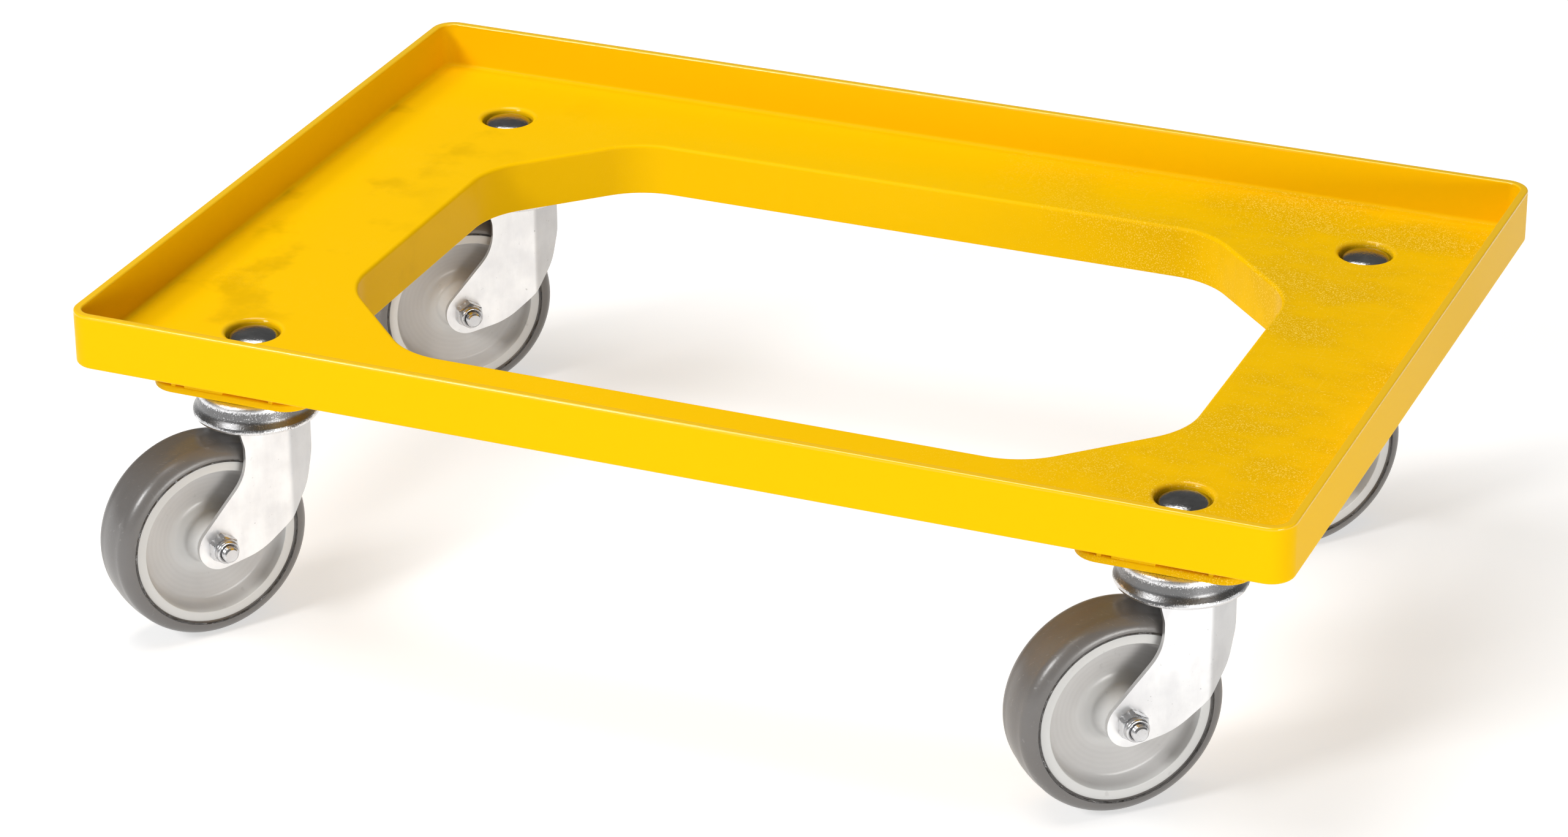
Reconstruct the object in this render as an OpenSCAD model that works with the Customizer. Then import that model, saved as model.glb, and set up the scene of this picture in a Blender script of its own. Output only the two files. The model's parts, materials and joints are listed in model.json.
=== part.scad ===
// Flatbed transport dolly for one stacking crate: a moulded tray deck on four swivel casters.
// Frame: millimetres, origin on the floor under the centre of the deck, +X along the long side,
// +Y across, +Z up. At rest every caster trails towards -X -Y, each at its own angle.

/* [Deck] */
// Length of the deck over its rim
deck_l = 610; // [540:1:760]
// Width of the deck over its rim
deck_w = 412; // [370:1:560]
// Outer radius of the deck's four corners
deck_r = 12; // [6:0.5:25]
// Height from the top of the wheels to the underside of the deck's bosses
wheel_room = 21.5; // [20:0.5:60]
// Depth of the tray, from the rim's top to the deck face
tray_depth = 24; // [12:0.5:35]
// Thickness of the deck plate
plate_t = 2.8; // [2:0.1:5]
// Thickness of the rim wall
rim_t = 4; // [2.5:0.1:7]
// Height that the rim's wall hangs below the deck plate
skirt_h = 1.3; // [0.5:0.1:4]
// Depth of the down-turned wall of the opening and of the caster bosses, from the rim's top
under_depth = 51.5; // [46:0.5:60]

/* [Opening] */
// Distance from the deck's end to the central opening
open_in_x = 88; // [74:0.5:140]
// Distance from the deck's side to the central opening
open_in_y = 67; // [56:0.5:110]
// Length that each corner of the opening is cut back along both sides
open_cut = 60; // [40:1:80]
// Radius of the opening's eight corners
open_r = 42; // [10:1:60]
// Thickness of the opening's down-turned wall
open_t = 3; // [2:0.1:5]

/* [Caster bosses] */
// Distance from the deck's end to the swivel axes
axis_in_x = 68; // [58:0.5:80]
// Distance from the deck's side to the swivel axes
axis_in_y = 61.5; // [54:0.5:72]
// Length of a boss
boss_l = 85; // [80:1:104]
// Distance from the swivel axis to a boss's middle, along the deck
boss_shift = -4; // [-6:0.5:6]
// Width of a boss
boss_w = 54; // [48:1:60]
// Corner radius of a boss
boss_r = 14; // [6:1:24]
// Thickness of a boss's base plate
boss_plate_t = 4; // [2.5:0.1:6]
// Thickness of the ribs and boss walls
rib_t = 2.5; // [1.5:0.1:4]
// Diameter of the recess for a bolt head
recess_d = 27; // [25:0.5:32]
// Depth of the recess below the deck face
recess_depth = 6.5; // [6:0.1:9]

/* [Casters] */
// Wheel diameter over the tyre
wheel_d = 102; // [80:1:125]
// Width of the tyre
tyre_w = 32; // [24:0.5:34]
// Thickness of the tyre over its rim
tyre_t = 8.6; // [6:0.2:14]
// Trail, from the swivel axis to the axle
trail = 32.5; // [30:0.5:38]
// Gap between the tyre's side and the fork's leg
tyre_gap = 2.4; // [2.4:0.1:4]
// Thickness of the fork's sheet steel
fork_t = 2.5; // [2:0.1:3]
// Outer diameter of the swivel housing at its lip
housing_d = 62.8; // [60:0.2:68]
// Height of the swivel housing
housing_h = 14.5; // [14:0.5:18]
// Diameter of the bolt that holds a caster
king_d = 10; // [8:1:10]
// Diameter of the wheel's axle bolt
axle_d = 8; // [6:1:8]
// Angle at which the front left caster trails, from -X towards -Y
yaw_front_left = 54; // [-180:1:180]
// Angle at which the front right caster trails, from -X towards -Y
yaw_front_right = 43; // [-180:1:180]
// Angle at which the back left caster trails, from -X towards -Y
yaw_back_left = 44; // [-180:1:180]
// Angle at which the back right caster trails, from -X towards -Y
yaw_back_right = 48; // [-180:1:180]

/* [Hidden] */
CORNERS = ["front_left", "front_right", "back_left", "back_right"];
PIECES = [
    "king_bolt", "king_washer", "top_cup", "lower_cup", "king_nut",
    "fork", "upper_balls", "lower_balls", "axle_bolt", "axle_nut", "axle_sleeve",
    "wheel_core", "tyre", "hub_bushes",
];
$fn = 48;

// colours
YELLOW = [1.0, 0.80, 0.04];
ZINC = [0.80, 0.81, 0.82];
BRIGHT = [0.70, 0.72, 0.74];
TYRE_GREY = [0.43, 0.42, 0.41];
CORE_GREY = [0.75, 0.75, 0.74];
BRONZE = [0.62, 0.50, 0.32];

// clearances
run_gap = 0.05;     // radial gap of a running fit
free_gap = 0.3;     // gap between pieces that move past each other
bolt_gap = 0.3;     // radial gap of a bolt in its hole
ball_gap = 0.4;     // half the gap between two balls of a row
ARC_STEPS = 8;      // straight segments in a rounded corner of the deck
eps = 0.01;

// heights above the floor
under_z = wheel_d + wheel_room;
total_h = under_z + under_depth;
deck_z = total_h - tray_depth;
plate_z = deck_z - plate_t;
recess_z = deck_z - recess_depth;
axle_z = wheel_d / 2;
pocket_r = max(deck_r - rim_t, 1);

// central opening
open_l = deck_l - 2 * open_in_x;
open_w = deck_w - 2 * open_in_y;

// swivel axes, one sign pair for each corner
axis_x = deck_l / 2 - axis_in_x;
axis_y = deck_w / 2 - axis_in_y;
CORNER_SIGNS = [[-1, -1], [1, -1], [-1, 1], [1, 1]];
YAWS = [yaw_front_left, yaw_front_right, yaw_back_left, yaw_back_right];

// bolts
king_head_d = recess_d - 2.6;
king_head_h = 4.5;
king_washer_d = recess_d - 1;
king_washer_t = 1.5;
king_nut_t = 5;
king_nut_af = 1.7 * king_d;
king_tip = 1;                           // bolt end beyond its nut
axle_nut_af = 1.625 * axle_d;
axle_nut_hex_t = 5;
axle_nut_t = 8;
axle_head_t = 5.3;
axle_tip = 3.5;

// swivel head, from the top cup down
cup_z = under_z;                        // top of the cup, against the boss
cup_t = 2.5;                            // top plate of the cup
cup_wall = 2;
lip_z = cup_z - housing_h;
shoulder_r = 5;
cup_neck_r = housing_d / 2 - 4;         // radius of the cup above its flared skirt
upper_ball_r = 3;
upper_pitch_r = housing_d / 2 - 11.4;
upper_ball_z = cup_z - cup_t - upper_ball_r + free_gap;
upper_count = floor(180 / asin((upper_ball_r + ball_gap) / upper_pitch_r));
groove_gap = 0.25;                      // room round a ball in its race
crown_top_z = upper_ball_z - upper_ball_r + groove_gap + 0.5;
crown_t = fork_t;
crown_z = crown_top_z - crown_t;
crown_edge = 3;                         // depth of the crown's turned-down edge
crown_r = cup_neck_r - cup_wall + free_gap;
spigot_r = king_d / 2 + bolt_gap + 2.7; // sleeve of the top cup, through the crown
crown_bore_r = spigot_r + free_gap;
lower_ball_r = 2.5;
lower_cup_r = tyre_w / 2 + tyre_gap - 0.9;   // inside the fork's legs
lower_pitch_r = lower_cup_r - 4;
lower_count = floor(180 / asin((lower_ball_r + ball_gap) / lower_pitch_r));
lower_ball_z = crown_z - lower_ball_r + 0.5;
lower_cup_top_z = lower_ball_z - lower_ball_r + 0.5;
lower_cup_t = 2.5;
lower_cup_z = lower_cup_top_z - lower_cup_t;
king_bore_r = king_d / 2 + bolt_gap;

// fork, in the caster's frame: +X is the trailing direction, Y is along the axle
leg_in = tyre_w / 2 + tyre_gap;
leg_out = leg_in + fork_t;
leg_front = 17.2;                       // front edge of a leg
flange_w = 16.5;
flange_turn = 24;                       // angle between a leg and its rear flange
// where a leg's rear edge turns in: behind the wheel's middle, and clear of the lower cup
leg_bend = min(trail - wheel_d / 2 + 12.5,
    (leg_in * cos(flange_turn) - lower_cup_r - 1.3) / sin(flange_turn));
leg_bend_z = axle_z + 4.4;              // lower end of the bend
leg_end_r = 12;                         // round end about the axle
leg_slope = 42.5;                       // direction of the normal of a leg's front slope
leg_knee = [trail - 21.5, axle_z - 8];  // knee of a leg's lower edge

// wheel
rim_d = wheel_d - 2 * tyre_t;
rim_w = tyre_w - 2;
rim_wall = 4.8;
sleeve_r = axle_d / 2 + 2;
bush_r = sleeve_r + 1.2;
bush_len = 12;
bush_flange_r = bush_r + 1.8;
bush_flange_t = 0.7;
hub_r = bush_r + 3.8;
hub_w = 2 * leg_in - 2;
crown_height = 0.6;                     // rise of the tread's middle over its shoulders
tyre_edge_r = min(8, tyre_t - crown_height - 0.2);     // shoulder of the tyre

// ---- outlines ----

// Points on an arc about c, from angle a to angle b
function arc(c, r, a, b, steps = ARC_STEPS) =
    [for (i = [0:steps]) let (t = a + (b - a) * i / steps) c + r * [cos(t), sin(t)]];

function unit(v) = v / norm(v);
function heading(v) = atan2(v.y, v.x);
function wrap(a) = a > 180 ? a - 360 : (a <= -180 ? a + 360 : a);

// The arc of radius r that rounds the corner v between the points p and n
function corner_arc(p, v, n, r, steps = ARC_STEPS) =
    let (
        u = unit(p - v),
        w = unit(n - v),
        half = acos(u * w) / 2,
        c = v + unit(u + w) * r / sin(half),
        a = heading(v + u * r / tan(half) - c),
        b = heading(v + w * r / tan(half) - c)
    )
    arc(c, r, a, a + wrap(b - a), steps);

// A closed outline with every corner rounded to r
function rounded(points, r) =
    let (n = len(points))
    [for (i = [0:n - 1])
        each corner_arc(points[(i + n - 1) % n], points[i], points[(i + 1) % n], r)];

function box_points(l, w) = [[-l / 2, -w / 2], [l / 2, -w / 2], [l / 2, w / 2], [-l / 2, w / 2]];

// The opening's eight corners, grown outwards by d on every side
function opening_points(d) =
    let (x = open_l / 2 + d, y = open_w / 2 + d, c = open_cut + d * (2 - sqrt(2)))
    [[-x + c, -y], [x - c, -y], [x, -y + c], [x, y - c],
     [x - c, y], [-x + c, y], [-x, y - c], [-x, -y + c]];

module rounded_box(l, w, r, z0, z1) {
    translate([0, 0, z0]) linear_extrude(z1 - z0) polygon(rounded(box_points(l, w), r));
}

module opening_prism(d, z0, z1) {
    translate([0, 0, z0]) linear_extrude(z1 - z0) polygon(rounded(opening_points(d), open_r + d));
}

// ---- placing ----

module at_axis(k) {
    translate([CORNER_SIGNS[k].x * axis_x, CORNER_SIGNS[k].y * axis_y, 0]) children();
}

module at_caster(k) {
    at_axis(k) rotate([0, 0, 180 + YAWS[k]]) children();
}

// Along the axle: local Z of the children runs along the caster's Y
module on_axle() {
    translate([trail, 0, axle_z]) rotate([-90, 0, 0]) children();
}

// A plate standing in the caster's XZ plane, from y0 to y0 + t
module upright(y0, t) {
    translate([0, y0 + t, 0]) rotate([90, 0, 0]) linear_extrude(t) children();
}

// ---- deck ----

// The tray: a plate with a rim all round, which hangs a little below it
module tray() {
    difference() {
        rounded_box(deck_l, deck_w, deck_r, plate_z - skirt_h, total_h);
        for (z = [[deck_z, total_h + 1], [plate_z - skirt_h - 1, plate_z]])
            rounded_box(deck_l - 2 * rim_t, deck_w - 2 * rim_t, pocket_r, z[0], z[1]);
    }
}

// A boss under one corner: base plate, ring wall, bolt core, ribs, and the moulded
// panel and gussets on its long sides
module boss() {
    wall_in = 3;
    core_r = recess_d / 2 + rib_t;
    top = plate_z + eps;
    translate([boss_shift, 0, 0]) {
        rounded_box(boss_l, boss_w, boss_r, under_z, under_z + boss_plate_t);
        difference() {
            rounded_box(boss_l - 2 * wall_in, boss_w - 2 * wall_in, boss_r - wall_in, under_z, top);
            rounded_box(boss_l - 2 * wall_in - 2 * rib_t, boss_w - 2 * wall_in - 2 * rib_t,
                max(boss_r - wall_in - rib_t, 1), under_z + boss_plate_t, top + 1);
        }
        translate([-boss_l / 2 + wall_in + 1, -rib_t / 2, under_z])
            cube([boss_l - 2 * wall_in - 2, rib_t, top - under_z]);
    }
    translate([0, 0, under_z]) cylinder(r = core_r, h = top - under_z);
    translate([-rib_t / 2, -boss_w / 2 + wall_in + 1, under_z])
        cube([rib_t, boss_w - 2 * wall_in - 2, top - under_z]);
    for (side = [-1, 1]) {
        // panel flush with the base plate's edge
        translate([-24, side * (boss_w / 2 - wall_in / 2) - wall_in / 2, under_z + 1])
            cube([21, wall_in, top - under_z - 1]);
        for (x = [-32, 21])
            translate([x, side * (boss_w / 2 - wall_in / 2) - wall_in / 2, under_z])
                cube([rib_t, wall_in, (top - under_z) * 0.7]);
    }
}

// Tapered ribs that tie the opening's wall to the deck plate, rising towards the rim
module under_ribs() {
    rib_end_z = under_z + 3;
    for (side = [-1, 1]) {
        for (x = [-open_l / 2 + open_cut + 20 : 54 : open_l / 2 - open_cut - 20])
            rotate([0, 0, side < 0 ? 0 : 180])
                translate([x + rib_t / 2, -deck_w / 2 + rim_t, 0]) rotate([0, -90, 0])
                    linear_extrude(rib_t)
                        polygon([[plate_z - 1, 0], [plate_z + eps, 0],
                            [plate_z + eps, (deck_w - open_w) / 2 - rim_t - open_t + eps],
                            [rib_end_z, (deck_w - open_w) / 2 - rim_t - open_t + eps]]);
        for (y = [-45, 0, 45])
            rotate([0, 0, side < 0 ? 0 : 180])
                translate([-deck_l / 2 + rim_t, y + rib_t / 2, 0]) rotate([90, 0, 0])
                    linear_extrude(rib_t)
                        polygon([[0, plate_z - 1],
                            [(deck_l - open_l) / 2 - rim_t - open_t + eps, rib_end_z],
                            [(deck_l - open_l) / 2 - rim_t - open_t + eps, plate_z + eps],
                            [0, plate_z + eps]]);
    }
}

module deck() {
    color(YELLOW)
    difference() {
        union() {
            tray();
            opening_prism(open_t, under_z, deck_z);
            for (k = [0:3]) at_axis(k) boss();
            under_ribs();
        }
        opening_prism(0, under_z - 1, deck_z + 1);
        for (k = [0:3])
            at_axis(k) {
                translate([0, 0, recess_z]) cylinder(d = recess_d, h = recess_depth + 1);
                translate([0, 0, under_z - 1]) cylinder(r = king_bore_r, h = deck_z - under_z);
            }
    }
}

// ---- caster, fixed pieces ----

module king_bolt() {
    head_z = recess_z + king_washer_t;
    tip_z = lower_cup_z - king_nut_t - king_tip;
    dome_r = (pow(king_head_d / 2, 2) + pow(king_head_h - 1, 2)) / (2 * (king_head_h - 1));
    color(BRIGHT) {
        translate([0, 0, head_z]) cylinder(d = king_head_d, h = 1);
        // domed head: the cap of a large ball
        intersection() {
            translate([0, 0, head_z + king_head_h - dome_r]) sphere(r = dome_r);
            translate([0, 0, head_z + 1]) cylinder(d = king_head_d, h = king_head_h);
        }
        translate([0, 0, tip_z]) cylinder(d = king_d, h = head_z - tip_z);
    }
}

module king_washer() {
    color(ZINC)
    difference() {
        translate([0, 0, recess_z]) cylinder(d = king_washer_d, h = king_washer_t);
        translate([0, 0, recess_z - 1]) cylinder(r = king_bore_r, h = king_washer_t + 2);
    }
}

// A torus cut into a race for its balls
module ball_groove(pitch_r, ball_z, ball_r) {
    translate([0, 0, ball_z]) rotate_extrude() translate([pitch_r, 0]) circle(r = ball_r + groove_gap);
}

// Swivel housing: an inverted cup with a flared lip, and a sleeve that takes the bolt's load
module top_cup() {
    r_out = housing_d / 2;
    side_r = cup_neck_r + 0.8;
    color(ZINC)
    difference() {
        union() {
            rotate_extrude()
                polygon(concat(
                    [[king_bore_r, cup_z - cup_t], [king_bore_r, cup_z]],
                    arc([cup_neck_r - shoulder_r, cup_z - shoulder_r], shoulder_r, 90, 0),
                    [[side_r + 0.6, cup_z - 8.5], [r_out - 0.4, lip_z + 3], [r_out, lip_z + 1.2],
                     [r_out - 0.4, lip_z], [r_out - cup_wall, lip_z],
                     [side_r + 0.6 - cup_wall, cup_z - 9.2], [cup_neck_r - cup_wall, cup_z - shoulder_r]],
                    arc([cup_neck_r - shoulder_r, cup_z - shoulder_r], shoulder_r - cup_wall, 10, 80),
                    [[cup_neck_r - shoulder_r - 0.6, cup_z - cup_t]]));
            translate([0, 0, lower_cup_top_z]) cylinder(r = spigot_r, h = cup_z - cup_t - lower_cup_top_z + eps);
        }
        ball_groove(upper_pitch_r, upper_ball_z, upper_ball_r);
        translate([0, 0, lower_cup_top_z - 1]) cylinder(r = king_bore_r, h = cup_z - lower_cup_top_z + 2);
    }
}

module lower_cup() {
    color(ZINC)
    difference() {
        translate([0, 0, lower_cup_z]) cylinder(r = lower_cup_r, h = lower_cup_t);
        ball_groove(lower_pitch_r, lower_ball_z, lower_ball_r);
        translate([0, 0, lower_cup_z - 1]) cylinder(r = king_bore_r, h = lower_cup_t + 2);
    }
}

module king_nut() {
    color(ZINC)
    difference() {
        translate([0, 0, lower_cup_z - king_nut_t])
            cylinder(d = king_nut_af / cos(30), h = king_nut_t, $fn = 6);
        translate([0, 0, lower_cup_z - king_nut_t - 1])
            cylinder(r = king_d / 2 + run_gap, h = king_nut_t + 2);
    }
}

// ---- caster, swivelling pieces ----

// Side view of a leg with its rear flange: front edge, slope to the axle, round end, lower edge
// up to the bend, and the flange's free edge up to the crown
function leg_outline() =
    let (
        axle = [trail, axle_z],
        to_axle = axle - leg_knee,
        knee_heading = heading(to_axle) - asin(leg_end_r / norm(to_axle)),
        shoulder = [leg_front,
            axle_z + (leg_end_r + (trail - leg_front) * cos(leg_slope)) / sin(leg_slope)],
        bend = [leg_bend, leg_bend_z],
        back_x = leg_bend - flange_w * cos(flange_turn),
        back_knee = [back_x + 4, leg_bend_z + 15.5],
        back = [back_x, leg_bend_z + 32],
        top_z = crown_z + 1
    )
    concat(
        [[back_x, top_z]],
        corner_arc([back_x, top_z], back, back_knee, 30),
        corner_arc(back, back_knee, bend, 24),
        corner_arc(back_knee, bend, leg_knee, 40, 4),
        corner_arc(bend, leg_knee, axle + [0, -leg_end_r], 35),
        arc(axle, leg_end_r, knee_heading - 90, leg_slope, 16),
        corner_arc(axle, shoulder, [leg_front, top_z], 24),
        [[leg_front, top_z]]);

// Plan view of the same sheet: the flat leg, the bend and the flange turned in behind it
function sheet_outline() =
    let (
        far = trail + leg_end_r + 2,
        flange = [-cos(flange_turn), -sin(flange_turn)] * (flange_w + 1),
        bend = [leg_bend, leg_out],
        inner_bend = bend + fork_t * [tan(flange_turn / 2), -1],
        to_inside = fork_t * [sin(flange_turn), -cos(flange_turn)]
    )
    concat(
        [[far, leg_in], [far, leg_out]],
        corner_arc([far, leg_out], bend, bend + flange, 1.5 + fork_t, 4),
        [bend + flange, bend + flange + to_inside],
        corner_arc(inner_bend + flange, inner_bend, [far, leg_in], 1.5, 4));

module leg() {
    difference() {
        intersection() {
            linear_extrude(crown_z + 2) polygon(sheet_outline());
            upright(0, leg_out + 1) polygon(leg_outline());
        }
        // the corners stay clear of the housing's lip, and inside the crown's down-turned edge
        for (limit = [[lip_z - 1, housing_d / 2 - cup_wall - 1],
                      [crown_z - crown_edge, crown_r - fork_t / 4]])
            difference() {
                translate([0, 0, limit[0]]) cylinder(r = 2 * crown_r, h = crown_z + 3 - limit[0]);
                translate([0, 0, limit[0] - 1])
                    cylinder(r = limit[1], h = crown_z + 5 - limit[0]);
            }
    }
}

module fork() {
    color(ZINC)
    difference() {
        union() {
            // crown: a disc with its edge turned down
            rotate_extrude()
                polygon([[crown_bore_r, crown_z], [crown_r - fork_t, crown_z],
                    [crown_r - fork_t, crown_z - crown_edge], [crown_r, crown_z - crown_edge],
                    [crown_r, crown_top_z - 1], [crown_r - 1, crown_top_z],
                    [crown_bore_r, crown_top_z]]);
            leg();
            mirror([0, 1, 0]) leg();
        }
        ball_groove(upper_pitch_r, upper_ball_z, upper_ball_r);
        ball_groove(lower_pitch_r, lower_ball_z, lower_ball_r);
        on_axle() cylinder(r = axle_d / 2 + bolt_gap, h = 4 * leg_out, center = true);
    }
}

module ball_row(pitch_r, ball_z, ball_r, count) {
    color(BRIGHT)
    for (i = [0:count - 1])
        rotate([0, 0, 360 * i / count]) translate([pitch_r, 0, ball_z]) sphere(r = ball_r);
}

module axle_bolt() {
    tip = leg_out + axle_nut_t + axle_tip;
    color(BRIGHT)
    on_axle() {
        translate([0, 0, -leg_out - axle_head_t])
            cylinder(d = axle_nut_af / cos(30), h = axle_head_t, $fn = 6);
        translate([0, 0, -leg_out - eps]) cylinder(d = axle_d, h = leg_out + tip - 1 + eps);
        translate([0, 0, tip - 1 - eps]) cylinder(d1 = axle_d, d2 = axle_d - 2, h = 1, $fn = 32);
    }
}

// Lock nut: a hexagon with a round collar
module axle_nut() {
    color(ZINC)
    on_axle()
        difference() {
            union() {
                translate([0, 0, leg_out])
                    cylinder(d = axle_nut_af / cos(30), h = axle_nut_hex_t, $fn = 6);
                translate([0, 0, leg_out]) cylinder(d = axle_nut_af - 1, h = axle_nut_t);
            }
            translate([0, 0, leg_out - 1]) cylinder(r = axle_d / 2 + run_gap, h = axle_nut_t + 2);
        }
}

module axle_sleeve() {
    color(BRIGHT)
    on_axle()
        difference() {
            cylinder(r = sleeve_r, h = 2 * leg_in, center = true);
            cylinder(r = axle_d / 2 + run_gap, h = 2 * leg_in + 2, center = true);
        }
}

// ---- wheel ----

// Half section of the core: rim ring, dished web and hub, above the middle plane
function core_half() =
    let (h = rim_w / 2, r = rim_d / 2, in = rim_d / 2 - rim_wall)
    [[r, 0], [r, h], [in + 0.6, h], [in, h - 0.6], [in - 1, h - 4], [in - 4, h - 7],
     [in - 9, 5], [hub_r + 8, 4.5], [hub_r + 4, 6], [hub_r + 2, 9], [hub_r, 10],
     [hub_r, hub_w / 2 - 0.5], [hub_r - 0.5, hub_w / 2], [bush_r, hub_w / 2]];

module wheel_core() {
    half = core_half();
    flip = [for (i = [len(half) - 1:-1:1]) [half[i].x, -half[i].y]];
    color(CORE_GREY)
    on_axle() rotate_extrude() polygon(concat(half, flip));
}

module tyre() {
    h = tyre_w / 2;
    r = wheel_d / 2;
    in = rim_d / 2;
    shoulder = arc([r - crown_height - tyre_edge_r, h - tyre_edge_r], tyre_edge_r, 90, 8);
    half = concat([[in, h - 1]], shoulder);
    flip = [for (i = [len(half) - 1:-1:0]) [half[i].x, -half[i].y]];
    color(TYRE_GREY)
    on_axle() rotate_extrude() polygon(concat(half, [[r, 3], [r, -3]], flip));
}

module hub_bushes() {
    color(BRONZE)
    on_axle()
        for (side = [0, 180])
            rotate([side, 0, 0])
                difference() {
                    union() {
                        translate([0, 0, hub_w / 2 - bush_len]) cylinder(r = bush_r, h = bush_len);
                        translate([0, 0, hub_w / 2]) cylinder(r = bush_flange_r, h = bush_flange_t);
                    }
                    translate([0, 0, hub_w / 2 - bush_len - 1])
                        cylinder(r = sleeve_r + run_gap, h = bush_len + bush_flange_t + 2);
                }
}

// ---- one node at a time ----

deck();
for (k = [0:3]) {
    c = CORNERS[k];
    at_caster(k) king_bolt();
    at_caster(k) king_washer();
    at_caster(k) top_cup();
    at_caster(k) lower_cup();
    at_caster(k) king_nut();
    at_caster(k) fork();
    at_caster(k) ball_row(upper_pitch_r, upper_ball_z, upper_ball_r, upper_count);
    at_caster(k) ball_row(lower_pitch_r, lower_ball_z, lower_ball_r, lower_count);
    at_caster(k) axle_bolt();
    at_caster(k) axle_nut();
    at_caster(k) axle_sleeve();
    at_caster(k) wheel_core();
    at_caster(k) tyre();
    at_caster(k) hub_bushes();
}
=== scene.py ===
"""A moulded transport dolly: a yellow tray deck for one stacking crate, on four swivel casters.

Sizes are in millimetres, and heights are above the floor; build() turns them into metres.
Every caster is drawn in its own frame, where +X trails behind the swivel axis, Y runs along
the axle towards its nut, and Z is up. caster_place() carries it to its corner of the deck.
"""
import json

import bmesh
import bpy
import numpy as np
from mathutils import Matrix, Vector
from mathutils.geometry import tessellate_polygon


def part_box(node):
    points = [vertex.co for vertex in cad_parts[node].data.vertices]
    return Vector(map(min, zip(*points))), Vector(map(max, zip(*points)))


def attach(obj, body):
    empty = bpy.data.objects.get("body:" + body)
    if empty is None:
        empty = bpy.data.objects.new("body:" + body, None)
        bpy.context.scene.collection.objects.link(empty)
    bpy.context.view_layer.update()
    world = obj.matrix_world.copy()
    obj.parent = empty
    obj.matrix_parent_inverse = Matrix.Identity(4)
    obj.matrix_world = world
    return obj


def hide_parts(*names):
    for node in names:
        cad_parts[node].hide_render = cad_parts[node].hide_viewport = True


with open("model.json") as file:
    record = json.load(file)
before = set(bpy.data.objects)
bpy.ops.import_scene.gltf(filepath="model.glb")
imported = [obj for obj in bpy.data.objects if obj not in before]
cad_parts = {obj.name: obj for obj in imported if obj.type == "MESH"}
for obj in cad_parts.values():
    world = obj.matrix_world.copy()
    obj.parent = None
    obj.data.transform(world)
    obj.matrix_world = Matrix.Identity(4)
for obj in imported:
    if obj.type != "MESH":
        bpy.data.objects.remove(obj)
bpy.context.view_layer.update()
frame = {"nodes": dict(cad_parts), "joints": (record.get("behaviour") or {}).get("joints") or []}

# ---- Camera and studio ----
# The dolly stands on a plain pale floor under soft panels. The camera is a long lens that looks
# down on the deck's front and right sides.

EYE = (0.840449, -2.065192, 1.170705)
AZIMUTH, ELEVATION, ROLL = np.radians([23.233, 24.982, -0.58])
LENS, SENSOR = 114.297, 36
SHIFT = (0.033252, -0.05854)

back = np.array([np.sin(AZIMUTH) * np.cos(ELEVATION), -np.cos(AZIMUTH) * np.cos(ELEVATION),
                 np.sin(ELEVATION)])
level = np.array([np.cos(AZIMUTH), np.sin(AZIMUTH), 0])
upright = np.cross(back, level)
right = level * np.cos(ROLL) + upright * np.sin(ROLL)
up = upright * np.cos(ROLL) - level * np.sin(ROLL)

camera = bpy.data.objects.new("camera", bpy.data.cameras.new("camera"))
bpy.context.collection.objects.link(camera)
camera.data.lens = LENS
camera.data.sensor_width = SENSOR
camera.data.shift_x, camera.data.shift_y = SHIFT
camera.matrix_world = Matrix.Translation(EYE) @ Matrix(np.stack([right, up, back], 1)).to_4x4()
bpy.context.scene.camera = camera
bpy.context.scene.view_settings.view_transform = "Standard"


def panel(name, place, target, size, watts, colour=(1, 1, 1)):
    """A soft rectangular light at a place, turned to face a target."""
    lamp = bpy.data.lights.new(name, "AREA")
    lamp.shape = "RECTANGLE"
    lamp.size, lamp.size_y = size
    lamp.energy = watts
    lamp.color = colour
    light = bpy.data.objects.new(name, lamp)
    bpy.context.collection.objects.link(light)
    light.location = place
    light.rotation_euler = (Vector(place) - Vector(target)).to_track_quat("Z", "Y").to_euler()


panel("key", (-1.5, -2.5, 1.9), (0, 0, 0.1), (0.8, 0.8), 62)
panel("fill", (2.1, -1.4, 0.3), (0, 0, 0.1), (1.0, 0.35), 24, (1, 0.99, 0.97))
panel("overhead", (-0.5, -0.1, 2.6), (0, 0, 0.1), (2.0, 1.4), 50)

world = bpy.data.worlds.new("studio")
world.use_nodes = True
world.node_tree.nodes["Background"].inputs["Color"].default_value = (1, 1, 1, 1)
world.node_tree.nodes["Background"].inputs["Strength"].default_value = 0.16
bpy.context.scene.world = world


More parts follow.
